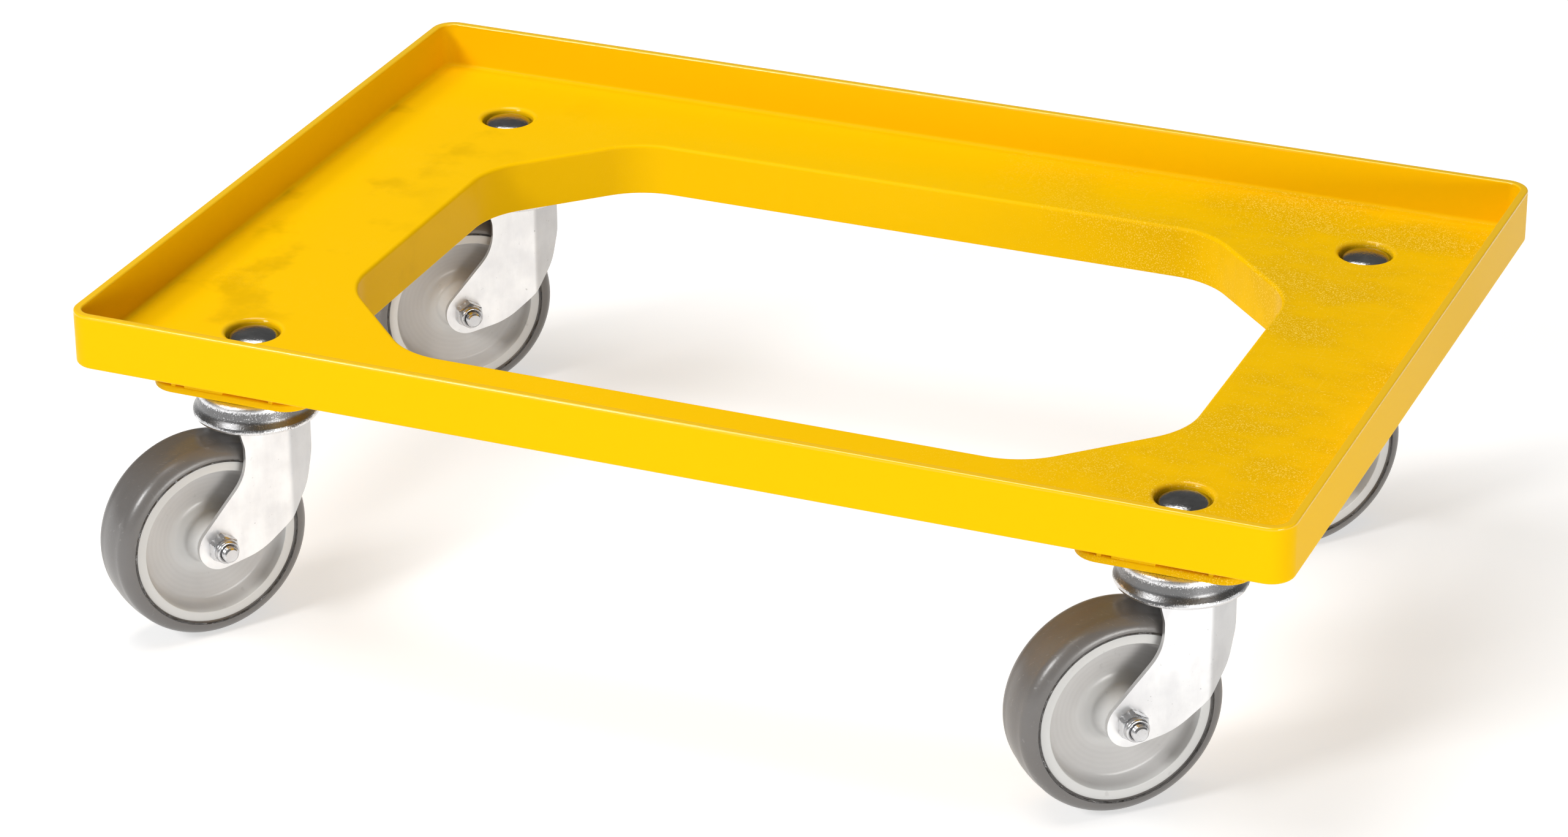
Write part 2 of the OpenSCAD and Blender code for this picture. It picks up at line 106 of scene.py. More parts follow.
class Shade:
    """One output of a material's nodes. Arithmetic on it adds Math nodes."""

    def __init__(self, tree, output):
        self.tree = tree
        self.output = output

    def node(self, kind, settings=None, inputs=None, output=0):
        """Adds a node of that kind: its settings first, then its sockets' values or links."""
        made = self.tree.nodes.new("ShaderNode" + kind)
        for name, value in (settings or {}).items():
            setattr(made, name, value)
        for socket, value in (inputs or {}).items():
            if isinstance(value, Shade):
                self.tree.links.new(value.output, made.inputs[socket])
            else:
                made.inputs[socket].default_value = value
        return Shade(self.tree, made.outputs[output])

    def math(self, operation, *values):
        return self.node("Math", {"operation": operation}, dict(enumerate(values)))

    def __add__(self, other):
        return self.math("ADD", self, other)

    def __sub__(self, other):
        return self.math("SUBTRACT", self, other)

    def __rsub__(self, other):
        return self.math("SUBTRACT", other, self)

    def __mul__(self, other):
        return self.math("MULTIPLY", self, other)

    __radd__ = __add__
    __rmul__ = __mul__

    def root(self):
        return self.math("SQRT", self)

    def sine(self):
        return self.math("SINE", self)

    def magnitude(self):
        return self.math("ABSOLUTE", self)

    def part(self, number):
        """One part of a place: 0 for x, 1 for y and 2 for z."""
        return self.node("SeparateXYZ", {}, {0: self}, output=number)

    def bump(self, strength, distance):
        """The surface's normal with this value as its height, where 1 stands for the distance."""
        return self.node("Bump", {}, {"Strength": strength, "Distance": distance, "Height": self})

    def ramp(self, low, high):
        """0 where this value is low or less, 1 where it is high or more, smooth between."""
        return self.node("MapRange", {"interpolation_type": "SMOOTHSTEP"},
                         {"Value": self, "From Min": low, "From Max": high})

    def noise(self, scale, detail=3.0, rough=0.5, stretch=(1, 1, 1), turn=(0, 0, 0)):
        """Noise of about scale features per metre, finer along an axis with a larger stretch."""
        spot = self.node("Mapping", {}, {"Vector": self, "Scale": stretch, "Rotation": turn})
        return self.node("TexNoise", {}, {"Vector": spot, "Scale": scale, "Detail": detail,
                                          "Roughness": rough})

    def mix(self, first, second):
        """A colour between two others, by this value."""
        return self.node("Mix", {"data_type": "RGBA"}, {0: self, 6: first, 7: second}, output=2)


def rgb(red, green, blue):
    return (red, green, blue, 1)


def material(name, paint):
    """A material whose paint(place) gives the values or links of its shader's sockets.

    Place is the point of the object's own space, in metres.
    """
    made = bpy.data.materials.new(name)
    made.use_nodes = True
    tree = made.node_tree
    tree.nodes.clear()
    place = Shade(tree, tree.nodes.new("ShaderNodeTexCoord").outputs["Object"])
    shader = place.node("BsdfPrincipled", {}, paint(place))
    tree.links.new(shader.output, tree.nodes.new("ShaderNodeOutputMaterial").inputs["Surface"])
    return made


def floor_paint(place):
    """Pale board with a barely visible tone."""
    tone = place.noise(1.5, 2)
    return {"Base Color": tone.mix(rgb(0.54, 0.54, 0.54), rgb(0.58, 0.58, 0.58)), "Roughness": 0.8,
            "Specular IOR Level": 0.1, "Emission Color": rgb(1, 1, 1), "Emission Strength": 0.58}


FLOOR = 30                          # metres from its middle to its sides

floor_mesh = bpy.data.meshes.new("floor")
floor_mesh.from_pydata([(-FLOOR, -FLOOR, 0), (FLOOR, -FLOOR, 0), (FLOOR, FLOOR, 0),
                        (-FLOOR, FLOOR, 0)], [], [(0, 1, 2, 3)])
floor = bpy.data.objects.new("floor", floor_mesh)
bpy.context.collection.objects.link(floor)
floor_mesh.materials.append(material("floor_board", floor_paint))

# ---- Deck tray ----
# One injection moulding in yellow plastic: a flat plate inside a rim, with a wall turned down
# around the central opening and four round recesses that sink the caster bolts' heads.

MM = 0.001
deck_low, deck_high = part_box("deck")
DECK_L = (deck_high.x - deck_low.x) / MM
DECK_W = (deck_high.y - deck_low.y) / MM
RIM_Z = deck_high.z / MM
UNDER_Z = deck_low.z / MM           # foot of the bosses and of the opening's wall
TRAY_DEPTH = 24
DECK_Z = RIM_Z - TRAY_DEPTH         # face of the deck
PLATE_Z = DECK_Z - 2.8              # underside of the deck plate
SKIRT = 1.3                         # the rim's wall hangs this far below the plate
DECK_R = 12
RIM_T = 4
RIM_DRAFT = 0.8                     # the rim's wall is this much thicker at its foot
OPEN_IN_X, OPEN_IN_Y = 88, 67       # from the deck's sides to the opening
OPEN_CUT = 60                       # cut off each corner of the opening, both ways
OPEN_R = 42
OPEN_T = 3
RECESS_R = 13.5
RECESS_Z = DECK_Z - 6.5
BOLT_BORE_R = 5.3
CORE_R = RECESS_R + 2.5             # plastic round a recess, down to the boss's base plate
CORE_Z = UNDER_Z + 1
CORE_GROW = CORE_R - RECESS_R
BORE_GROW = BOLT_BORE_R - RECESS_R
GUARD = 0.3                         # flat left beside a fillet, so that the face shades flat

FACE_X = DECK_L / 2 - RIM_T - 1     # from the middle to the rim's foot
FACE_Y = DECK_W / 2 - RIM_T - 1


def joint_places(start):
    """The places along and across the deck of the joints whose names start so, by corner."""
    return {joint["name"][len(start):]: np.array(joint["pos_m"][:2]) / MM
            for joint in frame["joints"] if joint["name"].startswith(start)}


CORNERS = joint_places("swivel_")
AXIS_X, AXIS_Y = np.abs(CORNERS["front_left"])


def rounded_outline(points, radius, steps):
    """Arc centres, directions and radius of a convex outline with rounded corners.

    Each corner turns on an arc whose centre lies a radius inside both of its sides. A point of
    the outline grown by d is its centre plus (radius + d) times its direction.
    """
    points = np.asarray(points, float)
    side = np.roll(points, -1, 0) - points
    side /= np.linalg.norm(side, axis=1)[:, None]
    after = np.stack([side[:, 1], -side[:, 0]], 1)
    before = np.roll(after, 1, 0)
    along = (before * after).sum(1)
    across = before[:, 0] * after[:, 1] - before[:, 1] * after[:, 0]
    centre = points - radius * (before + after) / (1 + along)[:, None]
    start = np.arctan2(before[:, 1], before[:, 0])
    angle = start[:, None] + np.arctan2(across, along)[:, None] * np.linspace(0, 1, steps + 1)
    direction = np.stack([np.cos(angle), np.sin(angle)], -1)
    return np.repeat(centre, steps + 1, 0), direction.reshape(-1, 2), radius


def box_outline(middle, length, width, radius, steps=8):
    """A rounded rectangle about a middle point."""
    x, y = length / 2, width / 2
    corners = np.array([[-x, -y], [x, -y], [x, y], [-x, y]]) + middle
    return rounded_outline(corners, radius, steps)


def round_outline(middle, radius, steps=64):
    """A circle, with its directions spread evenly round it."""
    angle = np.arange(steps) * 2 * np.pi / steps
    direction = np.stack([np.cos(angle), np.sin(angle)], 1)
    return np.broadcast_to(middle, direction.shape), direction, radius


def fillets(points, radii, steps=5):
    """An open profile whose inner corners are rounded to the given radii.

    A corner becomes an arc that touches both of its stretches, with a guard point beyond each end.
    """
    points = np.asarray(points, float)
    rounded = [points[:1]]
    for before, corner, after, radius in zip(points, points[1:], points[2:], radii):
        if radius == 0:
            rounded.append(corner[None])
            continue
        u = (before - corner) / np.linalg.norm(before - corner)
        w = (after - corner) / np.linalg.norm(after - corner)
        half = np.arccos(u @ w) / 2
        middle = corner + (u + w) / np.linalg.norm(u + w) * radius / np.sin(half)
        reach = radius / np.tan(half)
        first, last = corner + u * reach - middle, corner + w * reach - middle
        start = np.arctan2(first[1], first[0])
        sweep = np.arctan2(first[0] * last[1] - first[1] * last[0], first @ last)
        angle = start + sweep * np.linspace(0, 1, steps + 1)
        arc = middle + radius * np.stack([np.cos(angle), np.sin(angle)], 1)
        rounded += [(corner + u * (reach + GUARD))[None], arc, (corner + w * (reach + GUARD))[None]]
    return np.concatenate(rounded + [points[-1:]])


def carried(outline, profile):
    """A profile carried round an outline.

    Row i is the outline grown by the profile's first number, at the height of its second.
    """
    centre, direction, radius = outline
    grow, height = np.asarray(profile, float).T
    plan = centre + (radius + grow)[:, None, None] * direction
    return np.concatenate([plan, np.broadcast_to(height[:, None, None], plan.shape[:2] + (1,))], 2)


def build(name, grids, caps=(), own=None):
    """One mesh object from grids of points and flat caps.

    A grid's columns go round and join up. A cap fills the space inside its first loop and outside
    its others. Points that meet are merged, and every closed shell faces outwards. Own is a
    function that gives each point's place in its caster's frame, kept as an attribute.
    """
    points, faces, count = [], [], 0
    for grid in grids:
        rows, columns = grid.shape[:2]
        i = np.arange(rows - 1)[:, None] * columns
        j = np.arange(columns)[None]
        k = (j + 1) % columns
        quads = np.stack([i + j, i + k, i + columns + k, i + columns + j], -1)
        faces += (quads.reshape(-1, 4) + count).tolist()
        points.append(grid.reshape(-1, 3))
        count += rows * columns
    for loops in caps:
        flat = tessellate_polygon([[Vector(point) for point in loop] for loop in loops])
        faces += (np.array(flat) + count).tolist()
        points += list(loops)
        count += sum(len(loop) for loop in loops)
    points = np.concatenate(points)
    mesh = bpy.data.meshes.new(name)
    mesh.from_pydata(points * MM, [], faces)
    soft = bmesh.new()
    soft.from_mesh(mesh)
    bmesh.ops.remove_doubles(soft, verts=soft.verts, dist=2e-6)
    bmesh.ops.dissolve_degenerate(soft, edges=soft.edges, dist=1e-7)
    bmesh.ops.recalc_face_normals(soft, faces=soft.faces)
    for face in soft.faces:
        face.smooth = True
    soft.to_mesh(mesh)
    soft.free()
    if own is not None:
        corners = np.empty(len(mesh.vertices) * 3, np.float32)
        mesh.vertices.foreach_get("co", corners)
        spread = mesh.attributes.new("own", "FLOAT_VECTOR", "POINT")
        spread.data.foreach_set("vector", own(corners.reshape(-1, 3)).astype(np.float32).ravel())
    made = bpy.data.objects.new(name, mesh)
    bpy.context.collection.objects.link(made)
    return made


def settle(piece, body, slot, finish, *nodes):
    """Gives a piece its material and its body. The slot is not used."""
    piece.data.materials.append(finish)
    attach(piece, body)
    if nodes:
        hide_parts(*nodes)


def yellow_paint(place):
    """Glossy yellow. The deck's face carries painted shade over its right-hand end, where the light
    falls off, and is smeared and dusty, mostly there, with specks of dust in the texture and fine
    scratches, and has darker smudges at its left end. The rim's top edge and the lips of the
    recesses are polished."""
    x, y, z = (place.part(number) for number in range(3))
    face = ((1 - z.ramp((DECK_Z + 0.3) * MM, (DECK_Z + 1.5) * MM))
            * (1 - x.magnitude().ramp((FACE_X - 0.5) * MM, (FACE_X + 0.5) * MM))
            * (1 - y.magnitude().ramp((FACE_Y - 0.5) * MM, (FACE_Y + 0.5) * MM)))
    cloud = place.noise(7, 3)
    smear = place.noise(13, 5, 0.62, (1, 1.6, 1), (0, 0, 0.5)).ramp(0.4, 0.66)
    right_end = (x + 0.25 * y + 0.12 * cloud).ramp(0.1, 0.3)
    left_end = (0.1 * cloud - x).ramp(0.24, 0.33)
    grain = place.noise(1300, 2, 0.6)
    dust = (grain + 0.12 * smear).ramp(0.64, 0.74) * face * (0.12 + 0.88 * right_end)
    streaks = place.noise(30, 4, 0.5, (1, 30, 6), (0, 0, 0.7)).ramp(0.6, 0.7)
    marks = place.noise(34, 4, 0.5, (26, 1, 6), (0, 0, 0.25)).ramp(0.62, 0.7)
    lines = (streaks + marks) * (1 - smear) * face * (0.15 + 0.85 * right_end)
    smudge = place.noise(17, 4, 0.6).ramp(0.55, 0.7) * left_end * face
    # painted shade: over the right-hand end the face is darkened everywhere, as the light falls off
    # there, and more under the smears; the smudges at the left end are dirt
    shade = face * right_end * (0.1 + 0.34 * smear) + 0.45 * smudge + 0.08 * (cloud - 0.5)
    clean = shade.mix(rgb(0.85, 0.494, 0.001), rgb(0.5, 0.28, 0.0))
    dusty = (0.7 * dust + 0.08 * lines).mix(clean, rgb(0.98, 0.68, 0.09))
    aside, along = y.magnitude() - AXIS_Y * MM, x.magnitude() - AXIS_X * MM
    from_bolt = (aside * aside + along * along).root()
    lip = 0.5 - 0.5 * from_bolt.ramp((RECESS_R + 1) * MM, (RECESS_R + 3) * MM)
    polished = z.ramp((RIM_Z - 1.6) * MM, (RIM_Z - 0.8) * MM) + lip
    fine = (grain + 3 * cloud).bump(0.12, 0.0002)
    return {"Base Color": dusty, "Roughness": 0.24 + 0.1 * cloud + 0.2 * dust,
            "Specular IOR Level": 0.02, "Normal": fine, "Coat Weight": polished,
            "Coat Roughness": 0.12}


yellow_plastic = material("yellow_plastic", yellow_paint)

half_x, half_y = DECK_L / 2 - OPEN_IN_X, DECK_W / 2 - OPEN_IN_Y
cut_x, cut_y = half_x - OPEN_CUT, half_y - OPEN_CUT
opening_points = [[-cut_x, -half_y], [cut_x, -half_y], [half_x, -cut_y], [half_x, cut_y],
                  [cut_x, half_y], [-cut_x, half_y], [-half_x, cut_y], [-half_x, -cut_y]]

rim = carried(box_outline((0, 0), DECK_L, DECK_W, DECK_R, 12),
              fillets([[-RIM_T - 3, PLATE_Z], [-RIM_T, PLATE_Z], [-RIM_T, PLATE_Z - SKIRT],
                       [0, PLATE_Z - SKIRT], [0, RIM_Z], [-RIM_T, RIM_Z],
                       [-RIM_T - RIM_DRAFT, DECK_Z], [-9.5, DECK_Z]],
                      [0.5, 0.4, 1.8, 0.9, 0.8, 2.2]))
opening = carried(rounded_outline(opening_points, OPEN_R, 12),
                  fillets([[6, DECK_Z], [0, DECK_Z], [0.2, UNDER_Z], [OPEN_T, UNDER_Z],
                           [OPEN_T, PLATE_Z], [7, PLATE_Z]], [1.8, 0.7, 0.7, 1.5]))
recesses = [carried(round_outline(axis, RECESS_R),
                    fillets([[5, DECK_Z], [0, DECK_Z], [-0.3, RECESS_Z],
                             [BORE_GROW, RECESS_Z], [BORE_GROW, CORE_Z], [CORE_GROW, CORE_Z],
                             [CORE_GROW, PLATE_Z], [CORE_GROW + 4, PLATE_Z]],
                            [2.2, 1, 0.4, 0, 0, 1.2]))
            for axis in CORNERS.values()]
top_cap = [rim[-1], opening[0]] + [recess[0] for recess in recesses]
bottom_cap = [rim[0], opening[-1]] + [recess[-1] for recess in recesses]
tray = build("deck_tray", [rim, opening] + recesses, [top_cap, bottom_cap])
settle(tray, "deck", "yellow_plastic", yellow_plastic, "deck")

# ---- Caster bosses ----
# Moulded with the tray, one under each corner: a flat base plate that the swivel head is bolted
# to, on a ring wall set back from its edge, with a flush panel and small gussets on its sides.

BOSS_L, BOSS_W, BOSS_R = 85, 54, 14
BOSS_SHIFT = -4                     # from the swivel axis to the boss's middle, along the deck
BASE_T = 4
WALL_IN = 2.4                       # from the base plate's edge to the ring wall
WALL_T = 2.5
PANEL = (-25, -4)                   # its ends, along the deck from the swivel axis
GUSSETS = (-32, 21)
GUSSET_T = 2.2


def slab(loop, thickness):
    """A flat plate: a loop of points and the same loop moved by the thickness, as one grid."""
    loop = np.asarray(loop, float)
    return np.stack([loop, loop + thickness])


boss_grids, boss_caps, side_grids = [], [], []
for axis in CORNERS.values():
    middle = axis + [BOSS_SHIFT, 0]
    edge = carried(box_outline(middle, BOSS_L, BOSS_W, BOSS_R),
                   fillets([[-5, UNDER_Z + BASE_T], [0, UNDER_Z + BASE_T], [0, UNDER_Z],
                            [-5, UNDER_Z]], [0.9, 1.1]))
    bore = carried(round_outline(axis, BOLT_BORE_R - 0.1),
                   [[0, UNDER_Z + BASE_T], [0, UNDER_Z]])
    outline = box_outline(middle, BOSS_L - 2 * WALL_IN, BOSS_W - 2 * WALL_IN, BOSS_R - WALL_IN)
    ring = carried(outline,
                   [[0.3, UNDER_Z + 3], [0, UNDER_Z + 12], [0, PLATE_Z + 0.5],
                    [-WALL_T, PLATE_Z + 0.5], [-WALL_T, UNDER_Z + 3], [0.3, UNDER_Z + 3]])
    boss_grids += [edge, bore, ring]
    boss_caps += [[edge[0], bore[0]], [edge[-1], bore[-1]]]
    for side in (-1, 1):
        wall_y = side * (BOSS_W / 2 - WALL_IN - 0.5)
        face_y = side * (BOSS_W / 2 - 0.35)
        low, high = UNDER_Z + 1, PLATE_Z + 0.5
        foot = np.array([[PANEL[0], wall_y, low], [PANEL[0], face_y, low],
                         [PANEL[0], face_y - side * 0.4, high], [PANEL[0], wall_y, high]])
        side_grids.append(slab(foot + [*axis, 0], [PANEL[1] - PANEL[0], 0, 0]))
        for start in GUSSETS:
            wedge = np.array([[start, wall_y, low + 1], [start, face_y, low + 1],
                              [start, face_y, low + 4.5], [start, wall_y + side * 0.6, low + 13],
                              [start, wall_y, low + 13]])
            side_grids.append(slab(wedge + [*axis, 0], [GUSSET_T, 0, 0]))

bosses = build("deck_bosses", boss_grids, boss_caps)
settle(bosses, "deck", "yellow_plastic", yellow_plastic)

# ---- Ribs ----
# Tapered ribs under the plate, moulded with it, which tie the opening's wall to the rim.

RIB_T = 2.5
RIB_PITCH = 54
RIB_CLEAR = 20                      # from the opening's cut corners to the first rib
END_RIBS = (-45, 0, 45)             # across the deck
JOIN = 0.3                          # a rib runs this far into the opening's wall

side_x = np.arange(RIB_CLEAR - cut_x, cut_x - RIB_CLEAR + 1, RIB_PITCH)


def rib_outline(half, inner, side):
    """A rib's outline as its places across the deck and its heights, from the rim's wall to the
    opening's, which stands inner millimetres in from the deck's edge."""
    across = side * (half - np.array([RIM_T, RIM_T, inner + JOIN, inner + JOIN]))
    return across, [PLATE_Z - 1, PLATE_Z + 0.5, PLATE_Z + 0.5, UNDER_Z + 3]


for side in (-1, 1):
    across, height = rib_outline(DECK_W / 2, OPEN_IN_Y - OPEN_T, side)
    for middle in side_x:
        loop = np.stack([np.full(4, -side * middle - RIB_T / 2), across, height], 1)
        side_grids.append(slab(loop, [RIB_T, 0, 0]))
    across, height = rib_outline(DECK_L / 2, OPEN_IN_X - OPEN_T, side)
    for middle in END_RIBS:
        loop = np.stack([across, np.full(4, middle - RIB_T / 2), height], 1)
        side_grids.append(slab(loop, [0, RIB_T, 0]))


def soften(piece, width, segments=2):
    """Rounds a piece's sharp edges and keeps its flat faces flat in the light."""
    bevel = piece.modifiers.new("edges", "BEVEL")
    bevel.width = width * MM
    bevel.segments = segments
    bevel.limit_method = "ANGLE"
    bevel.angle_limit = np.radians(35)
    bevel.harden_normals = True


ribs = build("deck_ribs", side_grids, [[grid[end]] for grid in side_grids for end in (0, 1)])
soften(ribs, 0.4)
settle(ribs, "deck", "yellow_plastic", yellow_plastic)

# ---- King bolts and washers ----
# Domed bolts of polished steel, painted dark to stand for the dark surroundings they reflect,
# dropped through the deck from above to hold the casters, each on a flat washer at the bottom of
# its recess.

WHEELS = joint_places("wheel_")
KING_R = 5
KING_HEAD_R = RECESS_R - 1.3
KING_EDGE, KING_DOME = 1.6, 3.3     # height of the head's upright edge, and of its dome
WASHER_R, WASHER_T = RECESS_R - 0.5, 1.5
HEAD_Z = RECESS_Z + WASHER_T
KING_TIP_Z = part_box("king_bolt_front_left")[0].z / MM


def caster_turn(corner):
    """A caster's own axes in the deck's frame, as rows. Its +X points from axis to axle."""
    trail = WHEELS[corner] - CORNERS[corner]
    trail = trail / np.linalg.norm(trail)
    return np.array([[trail[0], trail[1], 0], [-trail[1], trail[0], 0], [0, 0, 1]])


def caster_place(corner):
    """A function that carries points of a caster's own frame to the deck's, in millimetres."""
    turn = caster_turn(corner)
    return lambda points: points @ turn + [*CORNERS[corner], 0]


def lathe(profile, steps=96):
    """A profile of (radius, height) points turned about the upright axis."""
    return carried(round_outline((0, 0), 0, steps), profile)


def dome(radius, height, low, steps=10):
    """A round cap, from its edge inwards: radius times sin t and height times cos t, over a
    quarter turn of t."""
    t = np.linspace(np.pi / 2, 0, steps + 1)
    return np.stack([radius * np.sin(t), low + height * np.cos(t)], 1)


def chrome_paint(place):
    """Polished steel with faint handling marks, painted dark to stand for a dark reflection."""
    marks = place.noise(900, 3, 0.6)
    stain = place.noise(150, 3)
    # painted reflection: the base colour is kept far darker than bare steel, standing for the dark
    # surroundings that the domes reflect
    return {"Base Color": stain.mix(rgb(0.2, 0.2, 0.2), rgb(0.46, 0.46, 0.46)), "Metallic": 1.0,
            "Roughness": 0.06 + 0.16 * stain, "Normal": marks.bump(0.6, 0.0002)}


def zinc_paint(place):
    """Zinc plate: light grey metal, slightly clouded, with small darker spots."""
    cloud = place.noise(60, 4)
    spots = place.noise(700, 3, 0.6).ramp(0.6, 0.75)
    tone = cloud.mix(rgb(0.5, 0.5, 0.51), rgb(0.72, 0.72, 0.73))
    return {"Base Color": (0.45 * spots).mix(tone, rgb(0.2, 0.2, 0.2)), "Metallic": 1.0,
            "Roughness": 0.16 + 0.16 * cloud, "Normal": (cloud + spots).bump(0.1, 0.0002)}


dark_chrome = material("dark_chrome", chrome_paint)
zinc_plate = material("zinc_plate", zinc_paint)

bolt_profile = np.concatenate([
    fillets([[0, KING_TIP_Z], [KING_R - 0.8, KING_TIP_Z], [KING_R, KING_TIP_Z + 0.8],
             [KING_R, HEAD_Z], [KING_HEAD_R, HEAD_Z]], [0, 0, 0]),
    [[KING_HEAD_R - 0.3, HEAD_Z], [KING_HEAD_R, HEAD_Z + 0.3],
     [KING_HEAD_R, HEAD_Z + KING_EDGE]],
    dome(KING_HEAD_R, KING_DOME, HEAD_Z + KING_EDGE)])
washer_profile = fillets([[KING_R + 0.3, RECESS_Z], [WASHER_R, RECESS_Z],
                          [WASHER_R, RECESS_Z + WASHER_T], [KING_R + 0.3, RECESS_Z + WASHER_T]],
                         [0.3, 0.5])
washer_profile = np.concatenate([washer_profile, washer_profile[:1]])

for corner in CORNERS:
    there = caster_place(corner)
    bolt = build("domed_bolt_" + corner, [there(lathe(bolt_profile, 64))])
    settle(bolt, "deck", "dark_chrome", dark_chrome, "king_bolt_" + corner)
    washer = build("flat_washer_" + corner, [there(lathe(washer_profile, 64))])
    settle(washer, "deck", "zinc_plate", zinc_plate, "king_washer_" + corner)

# ---- Swivel housings ----
# Pressed from sheet steel and bright zinc plated: a cup with its mouth down and a flared lip,
# which covers the ball races. Its plating is clouded with dark speckles.

HOUSING_R = 31.4                    # at the lip
NECK_R = 28.4
CROWN_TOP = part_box("fork_front_left")[1].z / MM
LIP_DROP = 7.05                     # from the fork's top down to the foot of the lip
LIP_Z = CROWN_TOP - LIP_DROP
SPIGOT_R = 8                        # the cup's middle reaches down round the bolt
SPIGOT_Z = LIP_Z + 0.55


def housing_paint(place):
    """Bright plate with dark speckles, which crowd round the middle of the cup as a painted dark
    reflection.
    """
    speckle = place.noise(1500, 3, 0.7)
    crowd = place.noise(55, 3, 0.5)
    level = place.part(2) + 0.004 * (crowd - 0.5)
    # painted reflection: the speckles crowd into a dark ring round the middle of the cup, where the
    # wall reflects the dark surroundings
    band = (level.ramp((LIP_Z + 1) * MM, (LIP_Z + 3.5) * MM)
            * (1 - level.ramp((UNDER_Z - 5.5) * MM, (UNDER_Z - 2.5) * MM)))
    dark = (speckle + 0.34 * band + 0.5 * (crowd - 0.5)).ramp(0.58, 0.76)
    tone = (0.85 * dark).mix(rgb(0.8, 0.8, 0.81), rgb(0.07, 0.07, 0.07))
    return {"Base Color": tone, "Metallic": 1.0, "Roughness": 0.2 + 0.2 * speckle,
            "Normal": (speckle + 3 * crowd).bump(0.3, 0.0003)}


bright_zinc = material("bright_zinc", housing_paint)

housing_profile = fillets(
    [[BOLT_BORE_R, UNDER_Z], [NECK_R, UNDER_Z], [NECK_R + 0.9, UNDER_Z - 8.6],
     [HOUSING_R - 0.4, LIP_Z + 2.8], [HOUSING_R, LIP_Z + 1.4], [HOUSING_R - 0.6, LIP_Z],
     [HOUSING_R - 2, LIP_Z], [NECK_R - 1.1, UNDER_Z - 9.2], [NECK_R - 2, UNDER_Z - 2.1],
     [SPIGOT_R, UNDER_Z - 2.1], [SPIGOT_R, SPIGOT_Z], [BOLT_BORE_R, SPIGOT_Z],
     [BOLT_BORE_R, UNDER_Z]],
    [3.5, 5, 1.2, 0.6, 0.5, 0.4, 3, 3, 0, 0, 0])

for corner in CORNERS:
    there = caster_place(corner)
    housing = build("swivel_housing_" + corner, [there(lathe(housing_profile))])
    settle(housing, "deck", "bright_zinc", bright_zinc, "top_cup_" + corner)

# ---- Forks ----
# Pressed from 2.5 mm sheet and satin zinc plated: a round crown under the housing, and two legs
# with a narrow flange turned in behind them, which run back and down to the axle.

SHEET_T = 2.5
LEG_IN = 18.4
LEG_OUT = LEG_IN + SHEET_T
TRAIL = np.linalg.norm(WHEELS["front_left"] - CORNERS["front_left"])
AXLE_Z = next(joint["pos_m"][2] / MM for joint in frame["joints"]
              if joint["name"] == "wheel_front_left")
LEG_FRONT = 17.2                    # from the swivel axis to the leg's upright front edge
LEG_SLOPE = np.radians(42.5)        # direction that the leg's front slope faces
LEG_END_R = 12
LEG_TIP = np.radians(-30)           # where the front and rear edges meet on the round end
BEND_X = TRAIL - AXLE_Z + 12.5      # upright line where the flange turns in
BEND_R = 2.75                       # of the sheet's middle
FLANGE_W = 16.5
FLANGE_EDGE = ((FLANGE_W, 36.4), (12.1, 19.9), (0, 4.4))    # behind the bend, above the axle
LEG_KNEE = (21.5, 8)                # of the lower edge: from the axle towards the axis, and down
FLANGE_TURN = np.radians(24)
CROWN_Z = CROWN_TOP - SHEET_T
CROWN_R = 25.7
CROWN_BORE_R = 8.3
LEG_TOP = CROWN_Z + 1


def spread(path, count):
    """Points set evenly by length along an open path."""
    length = np.concatenate([[0], np.cumsum(np.linalg.norm(np.diff(path, axis=0), axis=1))])
    spots = np.linspace(0, length[-1], count)
    return np.stack([np.interp(spots, length, path[:, axis]) for axis in (0, 1)], 1)


def turned(middle, radius, start, end, steps=24):
    """Points on an arc between two angles."""
    angle = np.linspace(start, end, steps + 1)
    return middle + radius * np.stack([np.cos(angle), np.sin(angle)], 1)


def folded(x, z, offset):
    """A flat sheet's points bent about the upright line at BEND_X.

    Ahead of the line a point keeps its place. Behind it, the distance runs first along an arc,
    which turns by distance over radius, and then straight on at the flange's angle. Offset is the
    distance out from the sheet's middle.
    """
    start = BEND_X + BEND_R * FLANGE_TURN / 2
    behind = np.maximum(start - x, 0)
    turn = np.minimum(behind / BEND_R, FLANGE_TURN)
    straight = behind - turn * BEND_R
    ahead = np.maximum(x, start)
    bent_x = ahead - (BEND_R + offset) * np.sin(turn) - straight * np.cos(turn)
    y = LEG_OUT - SHEET_T / 2 - BEND_R + (BEND_R + offset) * np.cos(turn) - straight * np.sin(turn)
    return np.stack([bent_x, y, z], -1)


